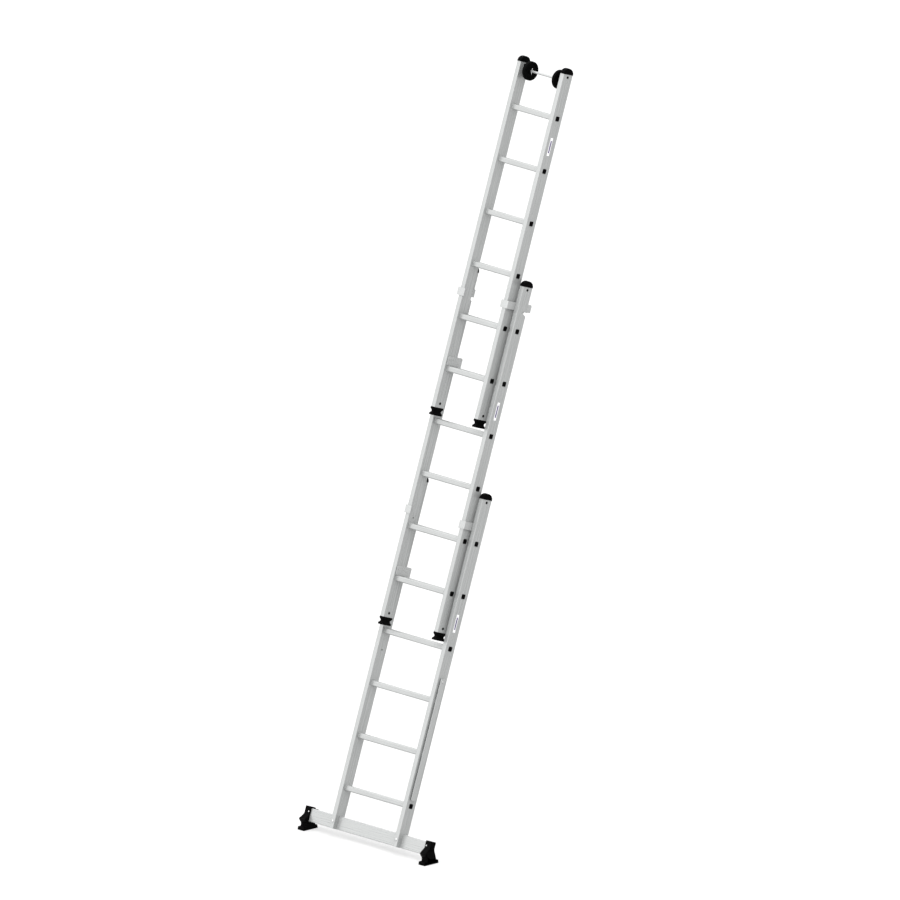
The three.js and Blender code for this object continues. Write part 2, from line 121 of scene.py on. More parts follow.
def make_camera():
    az, el = VIEW_AZIMUTH, VIEW_ELEVATION
    towards = Vector((math.sin(az) * math.cos(el), -math.cos(az) * math.cos(el), math.sin(el)))
    right = Vector((math.cos(az), math.sin(az), 0))
    upward = towards.cross(right)
    rung_end = BOTTOM.matrix @ Vector((BOTTOM.half + PLUG_PROUD, RUNG_N, 0))
    target = rung_end + right * VIEW_RIGHT_OF_RUNG + upward * VIEW_ABOVE_RUNG
    data = bpy.data.cameras.new("camera")
    data.type = "ORTHO"
    data.ortho_scale = VIEW_HEIGHT
    data.clip_end = 200
    camera = bpy.data.objects.new("camera", data)
    camera.location = target + towards * VIEW_DISTANCE
    camera.rotation_mode = "QUATERNION"
    camera.rotation_quaternion = (-towards).to_track_quat("-Z", "Y")
    bpy.context.scene.collection.objects.link(camera)
    bpy.context.scene.camera = camera


# ---- Material nodes ----

METALLIC = 0.4  # tuned together with the base colours, for a dull mill finish


def new_material(name):
    material = bpy.data.materials.new(name)
    material.use_nodes = True
    tree = material.node_tree
    return material, tree, tree.nodes["Principled BSDF"]


def add_node(tree, kind, **values):
    """A node of that kind. Keys that name an input set it, and the rest are the node's settings."""
    node = tree.nodes.new(kind)
    for key, value in values.items():
        if key in node.inputs:
            node.inputs[key].default_value = value
        else:
            setattr(node, key, value)
    return node


def ladder_coordinates(tree, scale):
    """Object coordinates turned to the ladder's own axes, so that grain runs up the stiles."""
    place = add_node(tree, "ShaderNodeTexCoord")
    turn = add_node(tree, "ShaderNodeMapping", Rotation=(LEAN, 0, 0))
    stretch = add_node(tree, "ShaderNodeMapping", Scale=scale)
    tree.links.new(place.outputs["Object"], turn.inputs["Vector"])
    tree.links.new(turn.outputs["Vector"], stretch.inputs["Vector"])
    return stretch.outputs["Vector"]


def noise(tree, vector, scale, detail=2.0, roughness=0.5):
    node = add_node(tree, "ShaderNodeTexNoise", Scale=scale, Detail=detail, Roughness=roughness)
    tree.links.new(vector, node.inputs["Vector"])
    return node.outputs["Fac"]


def spread(tree, value, low, high, start=0.3, end=0.7):
    """The value between start and end, spread over low to high."""
    node = add_node(tree, "ShaderNodeMapRange", interpolation_type="SMOOTHSTEP")
    node.inputs["From Min"].default_value = start
    node.inputs["From Max"].default_value = end
    node.inputs["To Min"].default_value = low
    node.inputs["To Max"].default_value = high
    tree.links.new(value, node.inputs["Value"])
    return node.outputs["Result"]


def blend_colours(tree, factor, first, second):
    node = add_node(tree, "ShaderNodeMix", data_type="RGBA")
    mix_inputs = {socket.identifier: socket for socket in node.inputs}
    mix_inputs["A_Color"].default_value = (*first, 1)
    mix_inputs["B_Color"].default_value = (*second, 1)
    tree.links.new(factor, mix_inputs["Factor_Float"])
    return next(s for s in node.outputs if s.identifier == "Result_Color")


def bump(tree, shader, height, strength, distance):
    node = add_node(tree, "ShaderNodeBump", Strength=strength, Distance=distance)
    tree.links.new(height, node.inputs["Height"])
    tree.links.new(node.outputs["Normal"], shader.inputs["Normal"])


def aluminium(name, light, dark, grain, roughness, metallic=METALLIC):
    """Mill-finish aluminium with fine drawing lines along the given grain and faint stains."""
    material, tree, shader = new_material(name)
    lines = noise(tree, ladder_coordinates(tree, grain), 1.0, 3.0, 0.6)
    stains = noise(tree, ladder_coordinates(tree, (1, 1, 0.35)), 9.0, 4.0, 0.6)
    colour = blend_colours(tree, spread(tree, stains, 0, 1), light, dark)
    tree.links.new(colour, shader.inputs["Base Color"])
    shader.inputs["Metallic"].default_value = metallic
    tree.links.new(spread(tree, lines, roughness - 0.07, roughness + 0.07),
                   shader.inputs["Roughness"])
    bump(tree, shader, lines, 0.08, 0.0002)
    return material


def moulded(name, light, dark, roughness, grain_size):
    """Black moulded plastic or rubber: a fine grain and a little dust in soft patches."""
    material, tree, shader = new_material(name)
    grain = noise(tree, ladder_coordinates(tree, (1, 1, 1)), 1 / grain_size, 2.0)
    patches = noise(tree, ladder_coordinates(tree, (1, 1, 1)), 40.0, 4.0, 0.65)
    colour = blend_colours(tree, spread(tree, patches, 0, 1, 0.45, 0.8), dark, light)
    tree.links.new(colour, shader.inputs["Base Color"])
    tree.links.new(spread(tree, patches, roughness - 0.06, roughness + 0.12),
                   shader.inputs["Roughness"])
    shader.inputs["Specular IOR Level"].default_value = 0.015
    bump(tree, shader, grain, 0.25, 0.0003)
    return material


def plated_steel():
    material, tree, shader = new_material("plated_steel")
    cloud = noise(tree, ladder_coordinates(tree, (1, 1, 1)), 220.0, 3.0, 0.6)
    colour = blend_colours(tree, spread(tree, cloud, 0, 1), (0.50, 0.50, 0.49), (0.38, 0.385, 0.39))
    tree.links.new(colour, shader.inputs["Base Color"])
    shader.inputs["Metallic"].default_value = 1.0
    tree.links.new(spread(tree, cloud, 0.22, 0.38), shader.inputs["Roughness"])
    bump(tree, shader, cloud, 0.05, 0.0002)
    return material


def printed_film(name, light, dark):
    material, tree, shader = new_material(name)
    cloud = noise(tree, ladder_coordinates(tree, (1, 1, 1)), 120.0, 2.0)
    colour = blend_colours(tree, spread(tree, cloud, 0, 1), light, dark)
    tree.links.new(colour, shader.inputs["Base Color"])
    tree.links.new(spread(tree, cloud, 0.30, 0.42), shader.inputs["Roughness"])
    return material


LOOKS = {
    "stile_aluminium": aluminium("stile_aluminium", (0.302, 0.308, 0.306), (0.288, 0.294, 0.292),
                                 (700, 700, 3), 0.29),
    "rung_aluminium": aluminium("rung_aluminium", (0.297, 0.303, 0.301), (0.284, 0.290, 0.288),
                                (3, 700, 700), 0.29),
    "fitting_aluminium": aluminium("fitting_aluminium", (0.325, 0.331, 0.329),
                                   (0.310, 0.316, 0.314), (300, 300, 300), 0.30),
    "plated_steel": plated_steel(),
    "black_plastic": moulded("black_plastic", (0.0022, 0.0022, 0.0024), (0.0008, 0.0008, 0.0008),
                             0.45, 0.0005),
    "black_rubber": moulded("black_rubber", (0.0032, 0.0032, 0.0030), (0.0012, 0.0012, 0.0012),
                            0.80, 0.0008),
    "white_label": printed_film("white_label", (0.72, 0.72, 0.73), (0.68, 0.68, 0.69)),
}
TRAVERSE_METAL = aluminium("traverse_aluminium", (0.300, 0.306, 0.304), (0.292, 0.298, 0.296),
                           (3, 900, 900), 0.30)
LABEL_INK = printed_film("label_ink", (0.055, 0.035, 0.120), (0.040, 0.025, 0.090))

# ---- Floor and light ----

FLOOR_REACH = 40.0
FLOOR_GLOW = 0.38  # the floor gives off a little light, so that shadows stay faint


def floor_material():
    material, tree, shader = new_material("pale_floor")
    cloud = noise(tree, ladder_coordinates(tree, (1, 1, 1)), 1.5, 3.0)
    colour = blend_colours(tree, spread(tree, cloud, 0, 1), (0.30, 0.30, 0.30), (0.29, 0.29, 0.29))
    tree.links.new(colour, shader.inputs["Base Color"])
    tree.links.new(spread(tree, cloud, 0.85, 0.95), shader.inputs["Roughness"])
    shader.inputs["Specular IOR Level"].default_value = 0.1
    shader.inputs["Emission Color"].default_value = (1, 1, 1, 1)
    shader.inputs["Emission Strength"].default_value = FLOOR_GLOW
    return material


def make_floor():
    mesh = bpy.data.meshes.new("floor")
    reach = FLOOR_REACH
    corners = [(-reach, -reach, 0), (reach, -reach, 0), (reach, reach, 0), (-reach, reach, 0)]
    mesh.from_pydata(corners, [], [(0, 1, 2, 3)])
    mesh.materials.append(floor_material())
    floor = bpy.data.objects.new("floor", mesh)
    bpy.context.scene.collection.objects.link(floor)


STUDIO_FRONT = (0.75, 2.2)  # background strength away from the front, and towards it
STUDIO_OVERHEAD = (0.0, 2.0)
SOFTBOX_SIZE = 3.0
SOFTBOX_POWER = 90


def area_light(name, location, target, size, power):
    data = bpy.data.lights.new(name, "AREA")
    data.shape = "DISK"
    data.size = size
    data.energy = power
    light = bpy.data.objects.new(name, data)
    light.location = location
    light.rotation_mode = "QUATERNION"
    aim = Vector(target) - Vector(location)
    light.rotation_quaternion = aim.to_track_quat("-Z", "Y")
    bpy.context.scene.collection.objects.link(light)


def toward(tree, direction):
    """How far a background direction turns to the given one, from -1 to 1."""
    place = add_node(tree, "ShaderNodeTexCoord")
    node = add_node(tree, "ShaderNodeVectorMath", operation="DOT_PRODUCT")
    tree.links.new(place.outputs["Generated"], node.inputs[0])
    node.inputs[1].default_value = Vector(direction).normalized()
    return node.outputs["Value"]


def make_light():
    """A pale studio: even all round, brighter from the front and from overhead."""
    world = bpy.data.worlds.new("studio")
    world.use_nodes = True
    tree = world.node_tree
    front = spread(tree, toward(tree, (0, -1, 0.25)), *STUDIO_FRONT, -0.2, 1.0)
    overhead = spread(tree, toward(tree, (0, 0, 1)), *STUDIO_OVERHEAD, 0.1, 1.0)
    total = add_node(tree, "ShaderNodeMath", operation="ADD")
    tree.links.new(front, total.inputs[0])
    tree.links.new(overhead, total.inputs[1])
    background = tree.nodes["Background"]
    background.inputs["Color"].default_value = (1, 1, 1, 1)
    tree.links.new(total.outputs["Value"], background.inputs["Strength"])
    bpy.context.scene.world = world
    area_light("softbox", (3.0, -3.0, 6.0), (0, 0, 1.5), SOFTBOX_SIZE, SOFTBOX_POWER)
    bpy.context.scene.view_settings.view_transform = "Standard"


make_camera()
make_floor()
make_light()

# ---- Outlines: lists of (a, b) points, turning anticlockwise ----


def arc(a, b, radius, start, end, steps, radius_b=None):
    points = []
    for i in range(steps + 1):
        angle = math.radians(start + (end - start) * i / steps)
        points.append((a + radius * math.cos(angle), b + (radius_b or radius) * math.sin(angle)))
    return points


def rounded_rect(a0, b0, a1, b1, radius, steps=5):
    return [
        *arc(a1 - radius, b0 + radius, radius, -90, 0, steps),
        *arc(a1 - radius, b1 - radius, radius, 0, 90, steps),
        *arc(a0 + radius, b1 - radius, radius, 90, 180, steps),
        *arc(a0 + radius, b0 + radius, radius, 180, 270, steps),
    ]


def square(size, corner):
    """A rounded square around a rung's axis, in the n-u plane."""
    half = size / 2
    return rounded_rect(RUNG_N - half, -half, RUNG_N + half, half, corner)


def without_doubles(outline):
    kept = []
    for point in outline:
        if not kept or math.dist(point, kept[-1]) > 1e-6:
            kept.append(point)
    if math.dist(kept[0], kept[-1]) < 1e-6:
        kept.pop()
    return kept


def inset(outline, distance):
    """The outline moved inwards by the distance, corner by corner."""
    moved = []
    count = len(outline)
    for i, point in enumerate(outline):
        before = (Vector(point) - Vector(outline[i - 1])).normalized()
        after = (Vector(outline[(i + 1) % count]) - Vector(point)).normalized()
        side = Vector((-before.y, before.x))
        inward = (side + Vector((-after.y, after.x))).normalized()
        moved.append(tuple(Vector(point) + inward * distance / max(0.5, inward.dot(side))))
    return moved


# ---- Mesh making ----

ORDERS = {
    "across": lambda a, b, h: (h, a, b),  # an outline in the n-u plane, pushed along x
    "along": lambda a, b, h: (a, b, h),  # an outline in the x-n plane, pushed along u
    "back": lambda a, b, h: (a, h, b),  # an outline in the x-u plane, pushed along n
}


def loft(bm, loops):
    rows = [[bm.verts.new(point) for point in loop] for loop in loops]
    count = len(rows[0])
    for row, following in zip(rows, rows[1:]):
        for i in range(count):
            j = (i + 1) % count
            bm.faces.new((row[i], row[j], following[j], following[i]))
    bm.faces.new(rows[0][::-1])
    bm.faces.new(rows[-1])


def prism(bm, order, outline, low, high, edge=1.0 * MM, steps=3):
    """An outline pushed from low to high, with its two rims rounded to the edge radius.

    The outline is a list of points, or a function that gives it for a distance inwards.
    """
    if callable(outline):
        shape = outline
    else:
        shape = partial(inset, without_doubles(outline))
    place = ORDERS[order]
    low, high = min(low, high), max(low, high)
    angles = [math.pi / 2 * i / steps for i in range(steps + 1)]
    rims = [(low + edge * (1 - math.cos(t)), edge * (1 - math.sin(t))) for t in angles]
    rims += [(high - edge * (1 - math.cos(t)), edge * (1 - math.sin(t))) for t in reversed(angles)]
    loft(bm, [[place(a, b, height) for a, b in shape(inwards)] for height, inwards in rims])


def lathe(bm, profile, centre, axis="x", steps=40):
    """A closed profile of (radius, height) points, turned about an axis through the centre."""
    centre = Vector(centre)
    spots = {
        "x": lambda r, t, h: (h, r * math.cos(t), r * math.sin(t)),
        "n": lambda r, t, h: (r * math.cos(t), h, r * math.sin(t)),
    }[axis]
    rows = []
    for radius, height in profile:
        if radius < 1e-7:
            rows.append([bm.verts.new(centre + Vector(spots(0, 0, height)))])
        else:
            turns = [2 * math.pi * i / steps for i in range(steps)]
            rows.append([bm.verts.new(centre + Vector(spots(radius, t, height))) for t in turns])
    pairs = list(zip(rows, rows[1:]))
    if len(rows[0]) > 1:
        pairs.append((rows[-1], rows[0]))
    for row, following in pairs:
        for i in range(steps):
            j = (i + 1) % steps
            corners = [row[i % len(row)], row[j % len(row)],
                       following[j % len(following)], following[i % len(following)]]
            bm.faces.new(list(dict.fromkeys(corners)))


def button(radius, height, sink, crown=0.45):
    """The profile of a domed head: sunk below the surface, and up to its height above it."""
    rim = height * (1 - crown)
    dome = arc(0, rim, radius, 0, 90, 6, height - rim)
    return [(0, -sink), (radius, -sink), *dome[:-1], (0, height)]


def facing(profile, side):
    """The profile, with its heights turned to the given side."""
    return [(radius, height * side) for radius, height in profile]


def add_piece(name, bm, matrix, body, slot, replaces=(), sharp=35, look=None):
    bmesh.ops.recalc_face_normals(bm, faces=bm.faces)
    bm.transform(matrix)
    mesh = bpy.data.meshes.new(name)
    bm.to_mesh(mesh)
    bm.free()
    mesh.materials.append(look or LOOKS[slot])
    mesh.shade_smooth()
    mesh.set_sharp_from_angle(angle=math.radians(sharp))
    piece = bpy.data.objects.new(name, mesh)
    bpy.context.scene.collection.objects.link(piece)
    flats = piece.modifiers.new("flats", "WEIGHTED_NORMAL")
    flats.keep_sharp = True
    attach(piece, body)
    if replaces:
        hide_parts(*replaces)
    return piece


def refined(node, edge=0.0, segments=2, look=None):
    """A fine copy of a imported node: flat faces made whole and sharp edges rounded."""
    bm = bmesh.new()
    bm.from_mesh(frame["nodes"][node].data)
    bmesh.ops.remove_doubles(bm, verts=bm.verts, dist=2e-6)
    bmesh.ops.dissolve_limit(bm, angle_limit=math.radians(0.4), verts=bm.verts, edges=bm.edges)
    if edge:
        sharp = [e for e in bm.edges if e.is_manifold and e.calc_face_angle(0) > math.radians(50)]
        bmesh.ops.bevel(bm, geom=sharp, offset=edge, offset_type="OFFSET", segments=segments,
                        profile=0.5, affect="EDGES", clamp_overlap=True)
    add_piece(f"{node}_form", bm, Matrix(), BODY_OF[node], SLOT_OF[node], [node], look=look)


# ---- Stiles and traverse ----

for section in SECTIONS:
    for word in SIDES:
        refined(f"{section.name}_stile_{word}")
refined("traverse", look=TRAVERSE_METAL)

# ---- Rungs and their plugs ----

TREAD_RIBS = 5
RIB_DEPTH = 0.8 * MM
RUNG_CORNER = 6 * MM
SEAT_BEAD = 2.6 * MM
RIM_SIZE = 32 * MM
PLUG_SIZE = 26 * MM
STRUT_SPACER_RUNGS = (1, 2)  # the struts' spacers close the ends of these bottom rungs


def ribbed_outline():
    """A rung's section: a rounded square with shallow grooves along its top."""
    half = RUNG_SIZE / 2
    front, back = RUNG_N - half, RUNG_N + half
    inner_front, inner_back = front + RUNG_CORNER, back - RUNG_CORNER
    outline = arc(inner_back, -half + RUNG_CORNER, RUNG_CORNER, -90, 0, 6)
    outline += arc(inner_back, half - RUNG_CORNER, RUNG_CORNER, 0, 90, 6)
    width = (inner_back - inner_front) / TREAD_RIBS
    for i in range(TREAD_RIBS):
        start = inner_back - i * width
        outline += [
            (start - 0.20 * width, half),
            (start - 0.35 * width, half - RIB_DEPTH),
            (start - 0.65 * width, half - RIB_DEPTH),
            (start - 0.80 * width, half),
        ]
    outline += arc(inner_front, half - RUNG_CORNER, RUNG_CORNER, 90, 180, 6)
    outline += arc(inner_front, -half + RUNG_CORNER, RUNG_CORNER, 180, 270, 6)
    return outline


def make_rung(section, index):
    node = f"{section.name}_rung_{index + 1}"
    end = section.extent(node)[1].x
    inner = section.half - STILE_WIDTH
    matrix = section.matrix @ Matrix.Translation((0, 0, index * section.pitch))
    bm = bmesh.new()
    prism(bm, "across", ribbed_outline(), -end + 0.3 * MM, end - 0.3 * MM, 0.2 * MM, 1)
    for side in SIDES.values():
        bead = square(RUNG_SIZE + 2.4 * MM, RUNG_CORNER)
        prism(bm, "across", bead, side * (inner - SEAT_BEAD), side * (inner + 0.5 * MM), 1.1 * MM)
        rim = square(RIM_SIZE, 4.5 * MM)
        prism(bm, "across", rim, side * (section.half - 0.5 * MM), side * end, 0.7 * MM)
    add_piece(f"{node}_form", bm, matrix, section.body, "rung_aluminium", [node])
    for word, side in SIDES.items():
        if section is BOTTOM and index in STRUT_SPACER_RUNGS:
            continue
        bm = bmesh.new()
        plug = square(PLUG_SIZE, 6 * MM)
        prism(bm, "across", plug, side * (end - 2 * MM), side * (end + PLUG_PROUD), 1.0 * MM)
        name = f"{section.name}_plug_{index + 1}_{word}"
        add_piece(name, bm, matrix, section.body, "black_plastic")


for section in SECTIONS:
    for index in range(RUNG_COUNT):
        make_rung(section, index)

# ---- Caps on the stiles' tops and feet on their lower ends ----

FOOT_WAIST_X = 5 * MM
FOOT_WAIST_N = 8 * MM
FOOT_TOE = 1.5 * MM  # how much further forward the lower end stands than the upper one
# Height up the foot, from -1 to 1, and how far the waist is drawn in there.
FOOT_PROFILE = (
    (-1.0, 0.20), (-0.97, 0.05), (-0.92, 0.0), (-0.62, 0.0), (-0.52, 0.12), (-0.32, 0.62),
    (-0.16, 0.92), (0.0, 1.0), (0.16, 0.92), (0.32, 0.62), (0.52, 0.12), (0.62, 0.0),
    (0.94, 0.0), (0.98, 0.06), (1.0, 0.15),
)
CAP_FLANGE = 4.5 * MM
CAP_EDGE = 5 * MM
PEG_RADIUS = 7 * MM
PEG_HEIGHT = 0.8 * MM
PEG_BELOW_TOP = 15 * MM
PEG_ABOVE_END = 22 * MM


def peg(section, word, u, name):
    """The heads of the peg that holds a cap or foot, on both sides of the stile."""
    side = SIDES[word]
    bm = bmesh.new()
    for face, outwards in ((section.half, side), (section.half - STILE_WIDTH, -side)):
        head = facing(button(PEG_RADIUS, PEG_HEIGHT, 1 * MM), outwards)
        lathe(bm, head, (side * face, RUNG_N, u), steps=24)
    add_piece(f"{section.name}_{name}_peg_{word}", bm, section.matrix, section.body,
              "black_plastic")


def make_cap(section, word):
    node = f"{section.name}_cap_{word}"
    low, high = section.extent(node)
    stile_top = section.extent(f"{section.name}_stile_{word}")[1].z
    base = stile_top + GAP
    middle = (low.y + high.y) / 2
    reach = (high.y - low.y) / 2
    dome_base = base + CAP_FLANGE - 0.5 * MM

    def dome(inwards):
        shrink = inwards + 0.7 * MM
        return arc(middle, dome_base, reach - shrink, 0, 180, 30, high.z - dome_base - inwards)

    bm = bmesh.new()
    flange = rounded_rect(low.x, low.y, high.x, high.y, 5 * MM)
    prism(bm, "along", flange, base, base + CAP_FLANGE, 1.4 * MM, 4)
    prism(bm, "across", dome, low.x + 0.7 * MM, high.x - 0.7 * MM, CAP_EDGE, 6)
    add_piece(f"{node}_form", bm, section.matrix, section.body, "black_plastic", [node])
    peg(section, word, stile_top - PEG_BELOW_TOP, "cap")


def make_foot(section, word):
    """A spool-shaped foot: two flared ends and a waist all round."""
    node = f"{section.name}_foot_{word}"
    low, high = section.extent(node)
    stile_end = section.extent(f"{section.name}_stile_{word}")[0].z
    top = stile_end - GAP
    middle = (top + low.z) / 2
    half_height = (top - low.z) / 2
    loops = []
    for u, drawn_in in FOOT_PROFILE:
        height = middle + u * half_height
        x = FOOT_WAIST_X * drawn_in
        n = FOOT_WAIST_N * drawn_in
        front = low.y + FOOT_TOE * (u + 1) / 2
        loop = rounded_rect(low.x + x, front + n, high.x - x, high.y - n, 3 * MM, 3)
        loops.append([(a, b, height) for a, b in loop])
    bm = bmesh.new()
    loft(bm, loops)
    add_piece(f"{node}_form", bm, section.matrix, section.body, "black_plastic", [node])
    peg(section, word, stile_end + PEG_ABOVE_END, "foot")


for section in SECTIONS:
    for word in SIDES:
        make_cap(section, word)
for section in (MIDDLE, TOP):
    for word in SIDES:
        make_foot(section, word)

# ---- Guides, rung hooks and their rivets ----

RIVET_RADIUS = 3.6 * MM
RIVET_HEIGHT = 1.8 * MM
GUIDE_PLATE = 4.3 * MM
GUIDE_HEIGHT = 41 * MM
GUIDE_RIVETS = (12 * MM, 42 * MM)
HOOK_RIVETS = ((22 * MM, 46 * MM), (50 * MM, 54 * MM))


def rivets(name, section, side, face, places, radius=RIVET_RADIUS, slot="plated_steel"):
    """Domed rivet heads on a face that looks to the given side, at the (n, u) places."""
    bm = bmesh.new()
    for n, u in places:
        lathe(bm, facing(button(radius, RIVET_HEIGHT, 0.6 * MM), side), (face, n, u), steps=20)
    add_piece(name, bm, section.matrix, section.body, slot)


def make_guide(section, word):
    node = f"{section.name}_guide_{word}"
    refined(node, 0.8 * MM)
    side = SIDES[word]
    plate_face = side * (section.half - STILE_WIDTH - GUIDE_PLATE)
    middle = section.extent(node)[0].z + GUIDE_HEIGHT / 2
    places = [(n, middle) for n in GUIDE_RIVETS]
    rivets(f"{node}_rivets", section, -side, plate_face, places)


def make_hook(section, word):
    node = f"{section.name}_rung_hook_{word}"
    refined(node, 0.6 * MM)
    side = SIDES[word]
    low, high = section.extent(node)
    face = low.x if side > 0 else high.x
    rivets(f"{node}_rivets", section, -side, face, HOOK_RIVETS)


for section in (BOTTOM, MIDDLE):
    for word in SIDES:
        make_guide(section, word)
for section in (MIDDLE, TOP):
    for word in SIDES:
        make_hook(section, word)

# ---- Small fixing heads on the stiles ----

FIXING_HEIGHT = 0.8 * MM
# Section, stile, whether on its outer face, rung, height above that rung, n, radius and slot.
FIXINGS = (
    (MIDDLE, "right", True, 6, 104.7 * MM, 42.4 * MM, 3.0 * MM, "black_plastic"),
    (TOP, "right", True, 2, -40 * MM, RUNG_N, 3.0 * MM, "plated_steel"),
    (MIDDLE, "left", False, 2, 43 * MM, 35 * MM, 3.0 * MM, "black_plastic"),
    (BOTTOM, "left", False, 4, -102 * MM, 34 * MM, 3.5 * MM, "black_plastic"),
)


def make_fixing(section, word, outer, rung, above, n, radius, slot):
    side = SIDES[word]
    face = section.half if outer else section.half - STILE_WIDTH
    outwards = side if outer else -side
    head = facing(button(radius, FIXING_HEIGHT, 0.6 * MM), outwards)
    bm = bmesh.new()
    lathe(bm, head, (side * face, n, (rung - 1) * section.pitch + above), steps=16)
    add_piece(f"{section.name}_fixing_{word}", bm, section.matrix, section.body, slot)


for fixing in FIXINGS:
    make_fixing(*fixing)

# ---- Blank labels on the right-hand stiles ----

LABEL_WIDTH = 16 * MM
LABEL_LENGTH = 95 * MM
LABEL_N = 30 * MM
LABEL_FILM = 0.25 * MM
BAR_WIDTH = 8.5 * MM
BAR_LENGTH = 66 * MM
LABEL_PLACES = {"top": (6, 150 * MM), "middle": (5, 147 * MM), "bottom": (5, 145 * MM)}


def make_label(section):
    rung, below = LABEL_PLACES[section.name]
    u = (rung - 1) * section.pitch - below
    for name, width, length, proud, look in (
        ("label", LABEL_WIDTH, LABEL_LENGTH, 1, None),
        ("label_bar", BAR_WIDTH, BAR_LENGTH, 2, LABEL_INK),
    ):
        bm = bmesh.new()
        outline = rounded_rect(LABEL_N - width / 2, u - length / 2, LABEL_N + width / 2,
                               u + length / 2, 1.2 * MM)
        prism(bm, "across", outline, section.half - 0.1 * MM, section.half + proud * LABEL_FILM,
              0.1 * MM, 1)
        add_piece(f"{section.name}_{name}", bm, section.matrix, section.body, "white_label",
                  look=look)


for section in SECTIONS:
    make_label(section)

# ---- Rollers, their axle and its split pins ----

ROLLER_RIM = 4 * MM
ROLLER_HUB = 15 * MM
ROLLER_DISH = 5.5 * MM
PIN_RADIUS = 1.6 * MM
PIN_REACH = 16 * MM


def make_roller(word):
    node = f"roller_{word}"
    low, high = TOP.extent(node)
    centre = (low + high) / 2
    half = (high.x - low.x) / 2
    radius = (high.z - low.z) / 2 - 0.1 * MM
    axle_low, axle_high = TOP.extent("roller_axle")
    bore = (axle_high.z - axle_low.z) / 2 + GAP
    rim = ROLLER_RIM
    dish = ROLLER_DISH
    hub = ROLLER_HUB
    face = [
        (bore, half), (hub, half), (hub + 1.5 * MM, half - 1 * MM), (hub + 3 * MM, half - dish),
        (radius - 13 * MM, half - dish - 0.6 * MM), (radius - 10.5 * MM, half - 1 * MM),
        (radius - 9 * MM, half), *arc(radius - rim, half - rim, rim, 90, 0, 6),
    ]
    back = [(r, -h) for r, h in reversed(face)]
    bm = bmesh.new()
    lathe(bm, face + back, centre, steps=72)
    add_piece(f"{node}_form", bm, TOP.matrix, node, "black_plastic", [node])


def make_axle():
    low, high = TOP.extent("roller_axle")
    centre = (low + high) / 2
    radius = (high.z - low.z) / 2
    end = high.x
    tube = [(0, -end), (radius - 1 * MM, -end), (radius, -end + 1 * MM),
            (radius, end - 1 * MM), (radius - 1 * MM, end), (0, end)]
    bm = bmesh.new()
    lathe(bm, tube, (0, centre.y, centre.z))
    add_piece("roller_axle_form", bm, TOP.matrix, "top_section", "fitting_aluminium",
              ["roller_axle"])
    for word, side in SIDES.items():
        inner = min(abs(x) for x in (TOP.extent(f"roller_{word}")[0].x,
                                     TOP.extent(f"roller_{word}")[1].x))
        bm = bmesh.new()
        pin = arc(side * (inner - 2.2 * MM), centre.y, PIN_RADIUS, 0, 337.5, 15)
        prism(bm, "along", pin, centre.z - PIN_REACH, centre.z + PIN_REACH, 0.6 * MM, 2)
        add_piece(f"axle_pin_{word}", bm, TOP.matrix, "top_section", "plated_steel")


for word in SIDES:
    make_roller(word)
make_axle()

# ---- Traverse bolts, shoe holders and their bolts ----


BOLT_SHANK = 4 * MM
BOLT_HEAD_HEIGHT = 4 * MM
NUT_RADIUS = 7.5 * MM
NUT_HEIGHT = 6 * MM


def headed_pin(near, far, head, crown, steps):
    """The profile of a pin with a domed head at its far end."""
    shoulder = far - BOLT_HEAD_HEIGHT
    profile = [(0, near), (BOLT_SHANK, near), (BOLT_SHANK, shoulder), (head, shoulder)]
    profile += arc(0, far - crown, head, 0, 90, steps, crown)[:-1]
    return [*profile, (0, far)]


def hexagon(radius):
    return arc(0, 0, radius, 0, 300, 5)


def make_traverse_bolt(word):
    node = f"traverse_bolt_{word}"
    low, high = BOTTOM.extent(node)
    centre = (low + high) / 2
    head = (high.x - low.x) / 2
    shank = BOLT_SHANK
    nut_front = BOTTOM.extent("traverse")[1].y + GAP
    profile = [(0, low.y)]
    profile += [(head * math.sin(t), low.y + (1 - math.cos(t)) * (-low.y - 1.6 * MM))
                for t in [math.pi / 2 * i / 6 for i in range(1, 7)]]
    profile += [(head, -0.3 * MM), (shank, -0.3 * MM), (shank, high.y - 1 * MM),
                (shank - 1 * MM, high.y), (0, high.y)]
    bm = bmesh.new()
    lathe(bm, profile, (centre.x, 0, centre.z), "n", 28)
    outline = [(centre.x + a, centre.z + b) for a, b in hexagon(NUT_RADIUS)]
    prism(bm, "back", outline, nut_front, nut_front + NUT_HEIGHT, 0.6 * MM, 2)
    add_piece(f"{node}_form", bm, BOTTOM.matrix, "bottom_section", "plated_steel", [node])


HOLDER_FRONT = 20 * MM  # the block's flat front, above the drum
HOLDER_BOLT_X = 445.5 * MM
HOLDER_BOLT_BELOW_TOP = 27 * MM
HOLDER_BOLT_RADIUS = 4.2 * MM
HOLDER_BOLT_HEIGHT = 2.4 * MM


def make_holder(word):
    node = f"shoe_holder_{word}"
    side = SIDES[word]
    refined(node, 0.5 * MM)
    bm = bmesh.new()
    high = BOTTOM.extent(node)[1]
    place = (side * HOLDER_BOLT_X, HOLDER_FRONT, high.z - HOLDER_BOLT_BELOW_TOP)
    profile = facing(button(HOLDER_BOLT_RADIUS, HOLDER_BOLT_HEIGHT, 1 * MM), -1)
    lathe(bm, profile, place, "n", 24)
    add_piece(f"{node}_bolt", bm, BOTTOM.matrix, "bottom_section", "plated_steel")


for word in SIDES:
    make_traverse_bolt(word)
    make_holder(word)

# ---- Shoes, drawn level about their pivot: x across, y back, z up ----

